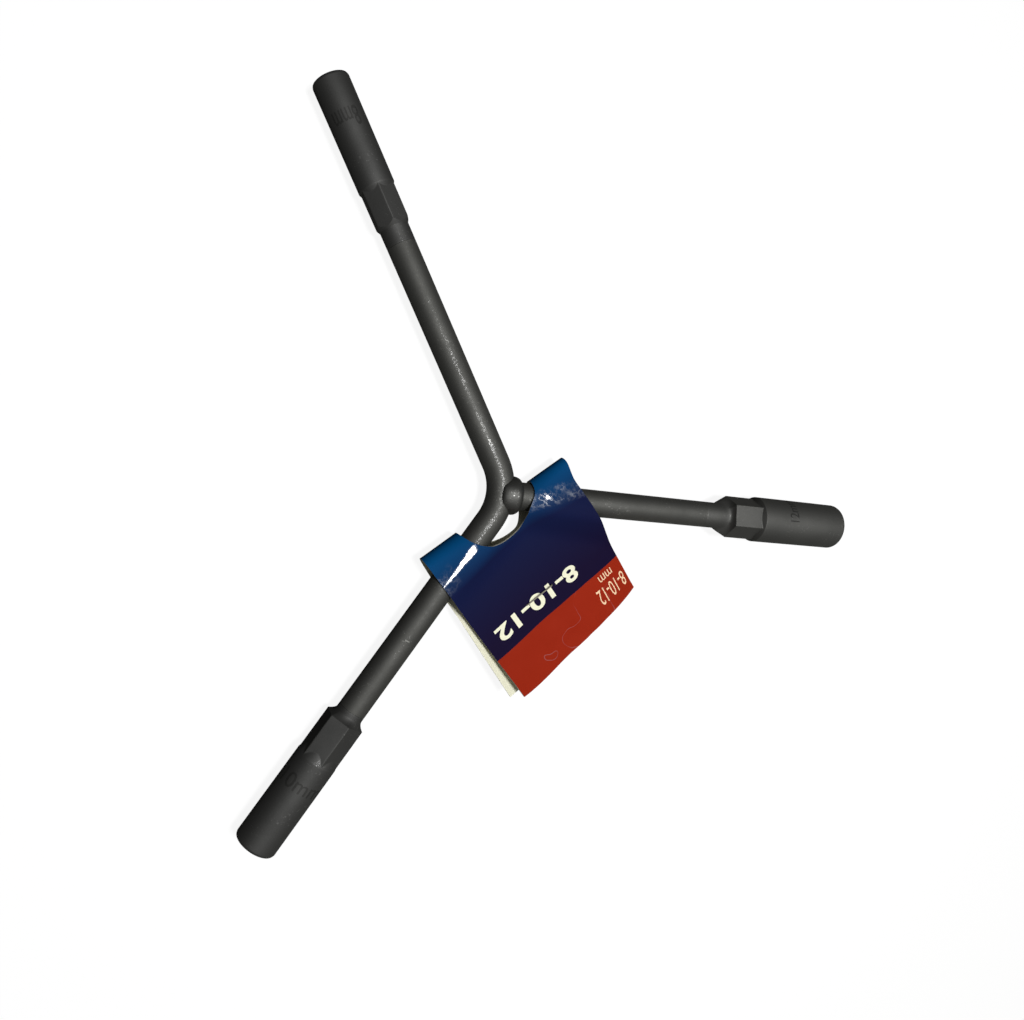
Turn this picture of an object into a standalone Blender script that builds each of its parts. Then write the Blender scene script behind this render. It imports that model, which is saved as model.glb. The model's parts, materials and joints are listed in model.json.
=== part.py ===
"""A Y-shaped socket wrench with a folded card tag stapled round its middle.

Metres, +Z up. The three arms are modelled in one flat plane, round the point where their axes
meet, with the straight arm along +X. One empty then lays the whole tool on its socket barrels, at
Z = 0, with the middle of its box over the origin. The card and its staple hang on a second empty
and can slide a little way up the top arm.
"""

import math

import bmesh
import bpy
from mathutils import Matrix, Vector

# Clearance between two pieces that touch on the real tool.
GAP = 0.0003

# Bars. Headings are in degrees, counter-clockwise from the straight arm.
ROD_DIAMETER = 0.010
ARM_LENGTH = 0.144
TOP_HEADING = 120.73
LEFT_HEADING = 238.63
STRAIGHT_OFFSET = -0.0006
BEND_RADIUS = 0.020
ROD_SIDES = 40
BEND_STEPS = 10

# Bead that joins the straight bar to the outside of the bend. It is widest near the bend's outer
# surface, runs out over the bend and ends in a step on the straight bar.
BEAD_DIAMETER = 0.0138
BEAD_SETBACK = 0.0005
BEAD_FRONT = 0.0026
BEAD_BACK = 0.0052
BEAD_EDGE = 0.0003
BEAD_STEPS = 6

# Sockets. A corner angle is measured from +Z towards the counter-clockwise side of the arm. The
# shoulder swells from the round shank to the hexagon: with a curve over 1 it rises late, and with a
# cone share of 1 its edge is that of a cone, which reaches further back on the flats.
SOCKET_8MM = dict(
    heading=TOP_HEADING,
    nut=0.008,
    barrel=0.01235,
    barrel_length=0.0344,
    step_length=0.0014,
    hexagon=0.01065,
    hexagon_length=0.0101,
    shoulder_length=0.0018,
    shoulder_curve=1.0,
    shoulder_cone=1.0,
    shank_length=0.0057,
    corner_angle=5.0,
)
SOCKET_10MM = dict(
    heading=LEFT_HEADING,
    nut=0.010,
    barrel=0.01485,
    barrel_length=0.0332,
    step_length=0.0032,
    hexagon=0.0127,
    hexagon_length=0.0122,
    shoulder_length=0.0024,
    shoulder_curve=1.8,
    shoulder_cone=0.0,
    shank_length=0.0016,
    corner_angle=6.0,
)
SOCKET_12MM = dict(
    heading=0.0,
    nut=0.012,
    barrel=0.0180,
    barrel_length=0.0392,
    step_length=0.0012,
    hexagon=0.0144,
    hexagon_length=0.0120,
    shoulder_length=0.0055,
    shoulder_curve=1.3,
    shoulder_cone=0.0,
    shank_length=0.0061,
    corner_angle=-22.0,
)
SOCKET_SIDES = 48
SHOULDER_STEPS = 4
RIM_RADIUS = 0.001
RIM_STEPS = 3
NUT_CLEARANCE = 0.0001
LEAD_IN_SHARE = 0.6
HEX_DEPTH = 0.014
DRILL_DEPTH = 0.030
DRILL_UNDERSIZE = 0.0002
DRILL_POINT_ANGLE = 118.0

# Card. It is folded across the middle of its length, over the bend, with one leaf above the arms
# and one below. Places on it are given along the fold and away from the fold, from the meeting
# point of the arms' axes.
FOLD_HEADING = 39.8
FOLD_PLACE = 0.0007
CARD_WIDTH = 0.0627
UPPER_LENGTH = 0.06695
LOWER_LENGTH = 0.0655
CARD_THICKNESS = 0.00045
CARD_MIDDLE = -0.00755
CARD_SKEW = 1.6
HOLE_RADIUS = 0.0161
HOLE_MIDDLE = -0.0075
HOLE_SIDES = 48
CUTTER_DEPTH = 0.0036
FACET_ALLOWANCE = 0.0002
RIDGE_SLOPE = 35.0
FOLD_SLOPE = 11.0
RIDGE_BLEND = 0.002
LEAF_GAP = 0.0011
LEFT_RISE = 0.0049
LEFT_GAPE = 0.0025
RIGHT_DROP = 0.0055
RISE_AT_FOLD = 0.35
GAPE_AT_FOLD = 0.5
EDGE_CURVE = 1.5
RIGHT_DRAW = 0.0019
DRAW_REACH = 0.010
SHORTENED_FROM = 0.026
UPPER_SHORTENING = (0.0895, 0.0444)
LOWER_SHORTENING = (0.0, 0.0737)
SHORTENING_CURVE = 2.5
ARM_DRAW = 0.0019
ARM_DRAW_MIDDLE = 0.0042
ARM_DRAW_REACH = 0.008
ARM_DRAW_START = 0.010
ARM_DRAW_END = 0.024
CELLS_ACROSS = 18
FOLD_CELLS = 10
LEAF_CELLS = 14

# Staple.
STAPLE_ALONG_FOLD = -0.01095
STAPLE_FROM_FOLD = 0.0373
STAPLE_WIRE = 0.0005
STAPLE_CROWN = 0.0127
STAPLE_CLINCH = 0.0042
STAPLE_BEND = 0.0006
STAPLE_SIDES = 8

# How far the tag can slide up the top arm.
TAG_TRAVEL = 0.003

ROD_RADIUS = ROD_DIAMETER / 2
UP = Vector((0, 0, 1))


def direction(heading):
    """Unit vector in the plane of the arms."""
    angle = math.radians(heading)
    return Vector((math.cos(angle), math.sin(angle), 0))


def clear_scene():
    for old in list(bpy.data.objects):
        bpy.data.objects.remove(old, do_unlink=True)


def make_material(name, color, roughness, metallic):
    material = bpy.data.materials.new(name)
    material.use_nodes = True
    shader = material.node_tree.nodes["Principled BSDF"]
    shader.inputs["Base Color"].default_value = (*color, 1)
    shader.inputs["Roughness"].default_value = roughness
    shader.inputs["Metallic"].default_value = metallic
    return material


def make_empty(name, parent=None):
    empty = bpy.data.objects.new(name, None)
    empty.empty_display_size = 0.01
    empty.parent = parent
    bpy.context.scene.collection.objects.link(empty)
    return empty


def make_object(name, bm, parent=None, material=None, heading=0.0, smooth_below=30.0):
    """Object from a bmesh, turned about Z by heading, with its faces pointing out."""
    bmesh.ops.remove_doubles(bm, verts=bm.verts, dist=1e-7)
    bmesh.ops.recalc_face_normals(bm, faces=bm.faces)
    mesh = bpy.data.meshes.new(name)
    bm.to_mesh(mesh)
    bm.free()
    mesh.shade_smooth()
    mesh.set_sharp_from_angle(angle=math.radians(smooth_below))
    made = bpy.data.objects.new(name, mesh)
    made.parent = parent
    made.rotation_euler.z = math.radians(heading)
    if material:
        mesh.materials.append(material)
    bpy.context.scene.collection.objects.link(made)
    return made


def hide_helper(helper):
    helper.hide_render = True
    helper.display_type = "WIRE"


def subtract(target, cutter):
    cut = target.modifiers.new("cut by " + cutter.name, "BOOLEAN")
    cut.operation = "DIFFERENCE"
    cut.solver = "EXACT"
    cut.object = cutter


def bridge(bm, first, second):
    """Quads between two rings of as many vertices."""
    for index in range(len(first)):
        after = (index + 1) % len(first)
        bm.faces.new((first[index], first[after], second[after], second[index]))


def turned(rings, tip=None, closed=False):
    """Solid along X from rings of (x, radius, angle) points, the angle from +Z towards +Y.

    The last ring ends in a point at x = tip. A closed solid joins its last ring to its first.
    """
    bm = bmesh.new()
    loops = [
        [bm.verts.new((x, radius * math.sin(angle), radius * math.cos(angle))) for x, radius, angle in ring]
        for ring in rings
    ]
    for first, second in zip(loops, loops[1:]):
        bridge(bm, first, second)
    if closed:
        bridge(bm, loops[-1], loops[0])
        return bm
    bm.faces.new(loops[0])
    point = bm.verts.new((tip, 0, 0))
    last = loops[-1]
    for index in range(len(last)):
        bm.faces.new((last[index], last[(index + 1) % len(last)], point))
    return bm


def rounded_path(corners, radius, steps):
    """Points along straight runs between the corners, with each inner corner rounded."""
    points = [corners[0]]
    for before, corner, after in zip(corners, corners[1:], corners[2:]):
        arriving = (corner - before).normalized()
        leaving = (after - corner).normalized()
        turn = arriving.angle(leaving)
        start = corner - arriving * radius * math.tan(turn / 2)
        inward = (leaving - arriving * leaving.dot(arriving)).normalized()
        for step in range(steps + 1):
            angle = turn * step / steps
            points.append(start + arriving * radius * math.sin(angle) + inward * radius * (1 - math.cos(angle)))
    points.append(corners[-1])
    return points


def swept(points, radius, sides, plane_normal):
    """Closed round bar along points that lie in one plane."""
    bm = bmesh.new()
    loops = []
    for index, point in enumerate(points):
        before = points[max(index - 1, 0)]
        after = points[min(index + 1, len(points) - 1)]
        side = plane_normal.cross((after - before).normalized())
        ring = []
        for step in range(sides):
            angle = 2 * math.pi * step / sides
            ring.append(bm.verts.new(point + radius * (side * math.sin(angle) + plane_normal * math.cos(angle))))
        loops.append(ring)
    for first, second in zip(loops, loops[1:]):
        bridge(bm, first, second)
    bm.faces.new(loops[0])
    bm.faces.new(loops[-1])
    return bm


def weld_line(socket):
    """Distance from the arms' meeting point to the line where a socket's shank meets its bar."""
    return (
        ARM_LENGTH
        - socket["barrel_length"]
        - socket["step_length"]
        - socket["hexagon_length"]
        - socket["shoulder_length"]
        - socket["shank_length"]
    )


def bend_outside():
    """Distance of the bend's outer surface from the arms' meeting point, along the straight arm."""
    half_turn = math.radians(180 - (LEFT_HEADING - TOP_HEADING)) / 2
    return ROD_RADIUS - BEND_RADIUS * (1 / math.cos(half_turn) - 1)


def bent_rod_path(gap):
    """Centre line of the bent bar, its ends a gap short of the two weld lines."""
    corners = [
        direction(TOP_HEADING) * (weld_line(SOCKET_8MM) - gap),
        Vector((0, 0, 0)),
        direction(LEFT_HEADING) * (weld_line(SOCKET_10MM) - gap),
    ]
    return rounded_path(corners, BEND_RADIUS, BEND_STEPS)


def make_rods(parent, steel, weld):
    bent = make_object("bent_rod", swept(bent_rod_path(GAP / 2), ROD_RADIUS, ROD_SIDES, UP), parent, steel)
    clearance = make_object("bend_clearance", swept(bent_rod_path(0), ROD_RADIUS + GAP, ROD_SIDES, UP), parent)
    hide_helper(clearance)

    start = bend_outside() - ROD_RADIUS
    end = weld_line(SOCKET_12MM) - GAP / 2
    along = [Vector((start, STRAIGHT_OFFSET, 0)), Vector((end, STRAIGHT_OFFSET, 0))]
    straight = make_object("straight_rod", swept(along, ROD_RADIUS, ROD_SIDES, UP), parent, steel)
    subtract(straight, clearance)

    bead = make_object("weld_collar", bead_mesh(), parent, weld)
    bead.location.y = STRAIGHT_OFFSET
    subtract(bead, clearance)
    return [bent, straight, bead]


def bead_mesh():
    """Ring with a bulging outside, round the end of the straight bar."""
    inner = ROD_RADIUS + GAP
    middle = bend_outside() - BEAD_SETBACK
    rise = BEAD_DIAMETER / 2 - inner - BEAD_EDGE
    profile = [(middle - BEAD_BACK, inner)]
    for step in range(-BEAD_STEPS, BEAD_STEPS + 1):
        angle = math.pi / 2 * step / BEAD_STEPS
        length = BEAD_BACK if step < 0 else BEAD_FRONT
        profile.append((middle + length * math.sin(angle), inner + BEAD_EDGE + rise * math.cos(angle)))
    profile.append((middle + BEAD_FRONT, inner))
    turns = [2 * math.pi * step / SOCKET_SIDES for step in range(SOCKET_SIDES)]
    return turned([[(x, radius, turn) for turn in turns] for x, radius in profile], closed=True)


def hexagon_radius(across_flats, step):
    """Radius of a hexagon at a step round it, of SOCKET_SIDES, with a corner at step 0."""
    from_flat = math.radians(360 * step / SOCKET_SIDES % 60 - 30)
    return across_flats / 2 / math.cos(from_flat)


def socket_rings(socket):
    """Rings of a socket from its rear face, along its outside, to the bottom of its bore."""
    mouth = ARM_LENGTH
    barrel_start = mouth - socket["barrel_length"]
    hexagon_start = barrel_start - socket["step_length"] - socket["hexagon_length"]
    rear = weld_line(socket) + GAP / 2
    barrel_radius = socket["barrel"] / 2
    step_slope = socket["step_length"] / (barrel_radius - socket["hexagon"] / 2)
    bore = socket["nut"] + NUT_CLEARANCE
    lead_in = bore / 2 * (1 + LEAD_IN_SHARE * (1 / math.cos(math.radians(30)) - 1))
    drill = (socket["nut"] - DRILL_UNDERSIZE) / 2
    turns = [math.radians(socket["corner_angle"] + 360 * step / SOCKET_SIDES) for step in range(SOCKET_SIDES)]
    outer = [min(hexagon_radius(socket["hexagon"], step), barrel_radius) for step in range(SOCKET_SIDES)]
    inner = [hexagon_radius(bore, step) for step in range(SOCKET_SIDES)]
    opening = [max(radius, lead_in) for radius in inner]

    def ring(places, radii):
        return list(zip(places, radii, turns))

    def round_ring(place, radius):
        return ring([place] * SOCKET_SIDES, [radius] * SOCKET_SIDES)

    rings = [round_ring(rear, ROD_RADIUS)]
    for step in range(SHOULDER_STEPS + 1):
        share = step / SHOULDER_STEPS
        radii = [ROD_RADIUS + (radius - ROD_RADIUS) * share ** socket["shoulder_curve"] for radius in outer]
        reach = [(max(outer) - radius) / (max(outer) - ROD_RADIUS) * socket["shoulder_cone"] for radius in outer]
        places = [hexagon_start - socket["shoulder_length"] * (1 - share * (1 - back)) for back in reach]
        rings.append(ring(places, radii))
    rings.append(ring([barrel_start - (barrel_radius - radius) * step_slope for radius in outer], outer))
    rings.append(round_ring(barrel_start, barrel_radius))
    for step in range(RIM_STEPS + 1):
        angle = math.pi / 2 * step / RIM_STEPS
        place = mouth - RIM_RADIUS * (1 - math.sin(angle))
        rings.append(round_ring(place, barrel_radius - RIM_RADIUS * (1 - math.cos(angle))))
    rings.append(ring([mouth] * SOCKET_SIDES, opening))
    rings.append(ring([mouth - (wide - radius) for wide, radius in zip(opening, inner)], inner))
    rings.append(ring([mouth - HEX_DEPTH] * SOCKET_SIDES, inner))
    rings.append(round_ring(mouth - HEX_DEPTH, drill))
    rings.append(round_ring(mouth - DRILL_DEPTH, drill))
    return rings, mouth - DRILL_DEPTH - drill / math.tan(math.radians(DRILL_POINT_ANGLE / 2))


def make_socket(name, socket, parent, steel, offset=0.0):
    rings, tip = socket_rings(socket)
    made = make_object(name, turned(rings, tip=tip), parent, steel, heading=socket["heading"])
    made.location.y = offset
    return made


def resting_plane():
    """(normal, depth) of the table under the arms' plane.

    The table touches each barrel at one end of its full diameter. Of the ways to pick those ends,
    the right one leaves no other end below the table.
    """
    ends = []
    for socket, offset in ((SOCKET_8MM, 0), (SOCKET_10MM, 0), (SOCKET_12MM, STRAIGHT_OFFSET)):
        along = direction(socket["heading"])
        places = (ARM_LENGTH - socket["barrel_length"], ARM_LENGTH - RIM_RADIUS)
        ends.append([(along * place + Vector((0, offset, 0)), along, socket["barrel"] / 2) for place in places])
    best = None
    for pick in range(8):
        chosen = [ends[arm][pick >> arm & 1] for arm in range(3)]
        system = Matrix([(1, point.x, point.y) for point, _, _ in chosen])
        normal = UP
        for _ in range(4):
            drops = [drop_of(end, normal) for end in chosen]
            depth, slope_x, slope_y = system.inverted() @ Vector(drops)
            normal = Vector((slope_x, slope_y, 1)).normalized()
        clear = min(
            depth + slope_x * end[0].x + slope_y * end[0].y - drop_of(end, normal) for arm in ends for end in arm
        )
        if best is None or clear > best[0]:
            best = (clear, normal, depth * normal.z)
    return best[1], best[2]


def drop_of(end, normal):
    """How far below a barrel's axis, straight down, the plane that touches that end of it passes."""
    _, along, radius = end
    return radius * math.sqrt(1 - along.dot(normal) ** 2) / normal.z


def soft_max(first, second, blend):
    near = max(blend - abs(first - second), 0) / blend
    return max(first, second) + near * near * blend / 4


def ease(share):
    share = min(max(share, 0), 1)
    return share * share * (3 - 2 * share)


def crest():
    """Height of the middle of the card's thickness over an arm."""
    return ROD_RADIUS + GAP + FACET_ALLOWANCE + CARD_THICKNESS / 2


def ridge(distance, travel):
    """Height of a leaf that lies over an arm, at a distance from the arm's axis, away from the fold.

    The leaf falls away on both sides, gently towards the fold, and steeply past the tag's travel.
    """
    slope = math.radians(RIDGE_SLOPE if distance > 0 else FOLD_SLOPE)
    past = max(distance - travel, -distance, 0)
    if past < crest() * math.sin(slope):
        return math.sqrt(crest() ** 2 - past**2)
    return crest() * math.cos(slope) - (past - crest() * math.sin(slope)) * math.tan(slope)


def past_arm(along, away, heading, offset):
    """(distance, travel) of a place on a leaf past an arm's axis, and the tag's slide in that direction."""
    from_fold = math.radians(heading - FOLD_HEADING)
    side = -1 if math.cos(from_fold) > 0 else 1
    distance = abs(math.cos(from_fold)) * away + side * abs(math.sin(from_fold)) * along + offset
    travel = TAG_TRAVEL * abs(math.sin(math.radians(TOP_HEADING - heading)))
    return distance, travel


def edge_shares(along):
    """(left, right) shares of the way from the staple to each side edge of the card."""
    left = (STAPLE_ALONG_FOLD - along) / (STAPLE_ALONG_FOLD - CARD_MIDDLE + CARD_WIDTH / 2)
    right = (along - STAPLE_ALONG_FOLD) / (CARD_MIDDLE + CARD_WIDTH / 2 - STAPLE_ALONG_FOLD)
    return max(left, 0), max(right, 0)


def leaf_height(along, away, side):
    """Height of a leaf over the arms' plane. Side is 1 for the upper leaf and -1 for the lower."""
    left, right = (share**EDGE_CURVE for share in edge_shares(along))
    lower = ease((away - STAPLE_FROM_FOLD) / (LOWER_LENGTH - STAPLE_FROM_FOLD))
    middle = (LEFT_RISE * left - RIGHT_DROP * right) * (RISE_AT_FOLD + (1 - RISE_AT_FOLD) * lower)
    opening = LEAF_GAP / 2 + LEFT_GAPE * left * (GAPE_AT_FOLD + (1 - GAPE_AT_FOLD) * lower)
    height = opening + side * middle
    for heading, offset in ((LEFT_HEADING, 0.0), (0.0, STRAIGHT_OFFSET)):
        height = soft_max(height, ridge(*past_arm(along, away, heading, offset)), RIDGE_BLEND)
    return side * height


def fold_arc(along, side):
    """(radius, angle) of the fold's curve on one side of the fold line, where it meets the leaf."""
    angle = math.radians(90 - FOLD_SLOPE)
    radius = crest()
    for _ in range(5):
        away = FOLD_PLACE + radius * (1 - math.cos(angle))
        radius = side * leaf_height(along, away, side) / math.sin(angle)
    return radius, angle


def fold_point(along, run, side_step=0.0005):
    """(away, height) of the card's mid surface at a run of card past the fold line.

    A run over zero is on the upper leaf. The card turns round the fold's curve, and each leaf then
    follows leaf_height, measured along the sheet.
    """
    side = 1 if run >= 0 else -1
    left = abs(run)
    radius, angle = fold_arc(along, side)
    if left <= radius * angle:
        turn = left / radius
        return FOLD_PLACE + radius * (1 - math.cos(turn)), side * radius * math.sin(turn)
    away = FOLD_PLACE + radius * (1 - math.cos(angle))
    height = leaf_height(along, away, side)
    left -= radius * angle
    while True:
        next_height = leaf_height(along, away + side_step, side)
        length = math.hypot(side_step, next_height - height)
        if length >= left:
            share = left / length
            return away + side_step * share, height + (next_height - height) * share
        left -= length
        away += side_step
        height = next_height


def drawn_in(along, away, height, side):
    """Place on a bent leaf, whose right edge is drawn in and whose corners are drawn towards the fold.

    The sheet beside the straight arm is also drawn along that arm, towards the hole.
    """
    left, right = edge_shares(along)
    leaf = UPPER_SHORTENING if side > 0 else LOWER_SHORTENING
    share = leaf[0] * left**SHORTENING_CURVE + leaf[1] * right**SHORTENING_CURVE
    shortened = away - share * max(away - SHORTENED_FROM, 0)
    inward = along - RIGHT_DRAW * right**2 * ease(away / DRAW_REACH)

    heading = math.radians(FOLD_HEADING)
    from_middle = abs(past_arm(along, away, 0.0, STRAIGHT_OFFSET)[0] - ARM_DRAW_MIDDLE)
    outward = along * math.cos(heading) + away * math.sin(heading)
    draw = ARM_DRAW * ease(1 - from_middle / ARM_DRAW_REACH)
    draw *= ease((ARM_DRAW_END - outward) / (ARM_DRAW_END - ARM_DRAW_START))
    return Vector((inward - draw * math.cos(heading), draw * math.sin(heading) - shortened, height))


def run_to(along, away, side):
    """Run of card from the fold line to a place on a leaf."""
    near, far = 0.0, UPPER_LENGTH
    for _ in range(40):
        middle = (near + far) / 2
        if fold_point(along, side * middle)[0] < away:
            near = middle
        else:
            far = middle
    return side * near


def card_point(along, run, level, small=0.0002):
    """Place on the folded card, at a level over its mid surface, with the fold along local X."""

    def surface(at_along, at_run):
        return drawn_in(at_along, *fold_point(at_along, at_run), at_run)

    across = surface(along + small, run) - surface(along - small, run)
    down = surface(along, run + small) - surface(along, run - small)
    return surface(along, run) + down.cross(across).normalized() * level


def staple_leg_places():
    """Both places, along and away from the fold, where the staple's legs go through the leaves."""
    skew = math.radians(CARD_SKEW)
    half = (STAPLE_CROWN - STAPLE_WIRE) / 2
    return [
        (STAPLE_ALONG_FOLD + end * half * math.cos(skew), STAPLE_FROM_FOLD - end * half * math.sin(skew))
        for end in (-1, 1)
    ]


def flat_cutter(name, along, run, radius, sides):
    bm = bmesh.new()
    bmesh.ops.create_cone(
        bm,
        cap_ends=True,
        segments=sides,
        radius1=radius,
        radius2=radius,
        depth=CUTTER_DEPTH,
        matrix=Matrix.Translation((along, run, 0)),
    )
    return make_object(name, bm)


def card_blank():
    """Flat card with its grid of cells, before it is die-cut and folded: X along, Y the run of card."""
    fold_run = crest() * math.radians(90 - FOLD_SLOPE)
    half_fold = [fold_run * step / (FOLD_CELLS / 2) for step in range(FOLD_CELLS // 2)]
    upper, lower = (
        half_fold + [fold_run + (length - fold_run) * step / LEAF_CELLS for step in range(LEAF_CELLS + 1)]
        for length in (UPPER_LENGTH, LOWER_LENGTH)
    )
    runs = [-run for run in reversed(lower[1:])] + upper
    skew = math.radians(CARD_SKEW)
    bm = bmesh.new()
    layers = []
    for level in (-CARD_THICKNESS / 2, CARD_THICKNESS / 2):
        layer = []
        for run in runs:
            row = []
            for cell in range(CELLS_ACROSS + 1):
                across = CARD_WIDTH * (cell / CELLS_ACROSS - 0.5)
                along = CARD_MIDDLE + across * math.cos(skew) + run * math.sin(skew)
                row.append(bm.verts.new((along, run * math.cos(skew) - across * math.sin(skew), level)))
            layer.append(row)
        for near, far in zip(layer, layer[1:]):
            for cell in range(CELLS_ACROSS):
                bm.faces.new((near[cell], near[cell + 1], far[cell + 1], far[cell]))
        layers.append(layer)
    below, above = ([*layer[0], *[row[-1] for row in layer[1:]], *reversed(layer[-1][:-1]),
                     *[row[0] for row in reversed(layer[1:-1])]] for layer in layers)
    bridge(bm, below, above)
    return make_object("card_blank", bm)


def make_card(parent, card_material):
    blank = card_blank()
    cutters = [flat_cutter("tag_hole", HOLE_MIDDLE, 0, HOLE_RADIUS, HOLE_SIDES)]
    for along, away in staple_leg_places():
        for side in (1, -1):
            cutters.append(
                flat_cutter("leg_hole", along, run_to(along, away, side), STAPLE_WIRE / 2 + GAP, STAPLE_SIDES)
            )
    for cutter in cutters:
        subtract(blank, cutter)
    graph = bpy.context.evaluated_depsgraph_get()
    bm = bmesh.new()
    bm.from_object(blank, graph)
    for helper in [blank, *cutters]:
        bpy.data.objects.remove(helper, do_unlink=True)
    bmesh.ops.triangulate(bm, faces=bm.faces)
    for vertex in bm.verts:
        vertex.co = card_point(*vertex.co)
    return make_object("card_tag", bm, parent, card_material, heading=FOLD_HEADING, smooth_below=50.0)


def make_staple(parent, wire_material):
    """Wire staple with its crown on the upper leaf and its legs clinched inwards under the lower one."""
    outside = CARD_THICKNESS / 2 + GAP + STAPLE_WIRE / 2
    (left_along, left_away), (right_along, right_away) = staple_leg_places()
    left = drawn_in(left_along, left_away, 0, 1)
    right = drawn_in(right_along, right_away, 0, 1)
    inward = (right - left).normalized()
    crown_height = outside + max(leaf_height(left_along, left_away, 1), leaf_height(right_along, right_away, 1))
    clinch_height = min(leaf_height(left_along, left_away, -1), leaf_height(right_along, right_away, -1)) - outside
    corners = [
        left + inward * STAPLE_CLINCH + UP * clinch_height,
        left + UP * clinch_height,
        left + UP * crown_height,
        right + UP * crown_height,
        right + UP * clinch_height,
        right - inward * STAPLE_CLINCH + UP * clinch_height,
    ]
    path = rounded_path(corners, STAPLE_BEND, 3)
    mesh = swept(path, STAPLE_WIRE / 2, STAPLE_SIDES, UP.cross(inward))
    return make_object("staple", mesh, parent, wire_material, heading=FOLD_HEADING)


def lay_on_table(wrench, pieces):
    """Turns and shifts the whole tool so that its barrels rest at Z = 0 round the origin."""
    normal, depth = resting_plane()
    wrench.rotation_mode = "QUATERNION"
    wrench.rotation_quaternion = normal.rotation_difference(UP)
    wrench.location = (0, 0, depth)
    bpy.context.view_layer.update()
    graph = bpy.context.evaluated_depsgraph_get()
    points = []
    for piece in pieces:
        evaluated = piece.evaluated_get(graph)
        points += [evaluated.matrix_world @ vertex.co for vertex in evaluated.data.vertices]
    for axis in (0, 1):
        places = [point[axis] for point in points]
        wrench.location[axis] = -(min(places) + max(places)) / 2
    bpy.context.view_layer.update()


def main():
    clear_scene()
    steel = make_material("satin_chrome", (0.42, 0.42, 0.43), 0.35, 1.0)
    weld = make_material("plated_weld", (0.40, 0.40, 0.41), 0.40, 1.0)
    printed_card = make_material("printed_card", (0.05, 0.13, 0.30), 0.45, 0.0)
    wire = make_material("staple_wire", (0.60, 0.60, 0.62), 0.30, 1.0)

    wrench = make_empty("wrench_frame")
    tag = make_empty("tag_slide", wrench)
    pieces = make_rods(wrench, steel, weld)
    pieces.append(make_socket("socket_8mm", SOCKET_8MM, wrench, steel))
    pieces.append(make_socket("socket_10mm", SOCKET_10MM, wrench, steel))
    pieces.append(make_socket("socket_12mm", SOCKET_12MM, wrench, steel, STRAIGHT_OFFSET))
    pieces.append(make_card(tag, printed_card))
    pieces.append(make_staple(tag, wire))
    lay_on_table(wrench, pieces)


main()
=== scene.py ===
"""Looks of the Y-shaped socket wrench: plated steel, the printed card tag, its staple, and the studio.

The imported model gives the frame. Each CAD node is replaced by a finer piece built from the same
real sizes, in metres, and placed in the plane of the arms.
"""

import json
import math

import bmesh
import bpy
import numpy as np
from mathutils import Matrix, Vector


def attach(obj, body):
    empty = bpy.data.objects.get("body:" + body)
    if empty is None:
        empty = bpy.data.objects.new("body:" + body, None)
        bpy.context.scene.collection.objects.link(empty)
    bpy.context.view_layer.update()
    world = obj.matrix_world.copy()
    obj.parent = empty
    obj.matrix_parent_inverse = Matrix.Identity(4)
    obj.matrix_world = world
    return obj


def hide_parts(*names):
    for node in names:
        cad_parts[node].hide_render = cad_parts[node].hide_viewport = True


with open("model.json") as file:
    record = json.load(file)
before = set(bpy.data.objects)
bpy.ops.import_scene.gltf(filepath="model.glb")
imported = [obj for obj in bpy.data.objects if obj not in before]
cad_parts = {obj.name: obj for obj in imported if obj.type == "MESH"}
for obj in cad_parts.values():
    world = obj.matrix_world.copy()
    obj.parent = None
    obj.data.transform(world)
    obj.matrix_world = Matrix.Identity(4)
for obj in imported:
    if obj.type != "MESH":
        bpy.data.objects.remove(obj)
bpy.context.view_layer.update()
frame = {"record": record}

# The tool, in the plane of its arms. Headings are in degrees from the straight arm.
ROD_RADIUS = 0.005
ARM_LENGTH = 0.144
TOP_HEADING = 120.73
LEFT_HEADING = 238.63
STRAIGHT_OFFSET = -0.0006
BEND_RADIUS = 0.020
ROD_SIDES = 96
BEND_STEPS = 40
ROD_CELL = 0.003

# Weld bead round the end of the straight bar. Its round is fuller with a lower power, and its ripples
# are shares of its radius.
BEAD_RADIUS = 0.0069
BEAD_SINK = 0.0004
BEAD_SETBACK = 0.0005
BEAD_FRONT = 0.0026
BEAD_BACK = 0.0052
BEAD_POWER = 0.8
BEAD_WIDE_RIPPLE = 0.010
BEAD_FINE_RIPPLE = 0.006
BEAD_STEPS = 28
BEAD_SIDES = 120

# Sockets: a hexagon behind a round barrel, with a corner angle measured from +Z. The shoulder rises
# from the bar as a power, its curve, and its steepness raises that power on top and underneath.
# A cone of 1 ends the shoulder further back on the hexagon's flats than at its corners, and a cone
# of 0 ends it in one plane.
SOCKET_8MM = dict(
    heading=TOP_HEADING,
    offset=0.0,
    nut=0.008,
    barrel=0.01235,
    barrel_length=0.0344,
    step_length=0.0014,
    hexagon=0.01065,
    hexagon_length=0.0101,
    shoulder_length=0.0018,
    shoulder_curve=1.0,
    shoulder_steepness=0.0,
    shoulder_cone=1.0,
    shank_length=0.0057,
    corner_angle=5.0,
)
SOCKET_10MM = dict(
    heading=LEFT_HEADING,
    offset=0.0,
    nut=0.010,
    barrel=0.01485,
    barrel_length=0.0332,
    step_length=0.0032,
    hexagon=0.0127,
    hexagon_length=0.0122,
    shoulder_length=0.0024,
    shoulder_curve=1.8,
    shoulder_steepness=0.0,
    shoulder_cone=0.0,
    shank_length=0.0016,
    corner_angle=6.0,
)
SOCKET_12MM = dict(
    heading=0.0,
    offset=STRAIGHT_OFFSET,
    nut=0.012,
    barrel=0.0180,
    barrel_length=0.0392,
    step_length=0.0012,
    hexagon=0.0144,
    hexagon_length=0.0120,
    shoulder_length=0.0055,
    shoulder_curve=0.8,
    shoulder_steepness=11.0,
    shoulder_cone=0.0,
    shank_length=0.0061,
    corner_angle=-22.0,
)

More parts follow.
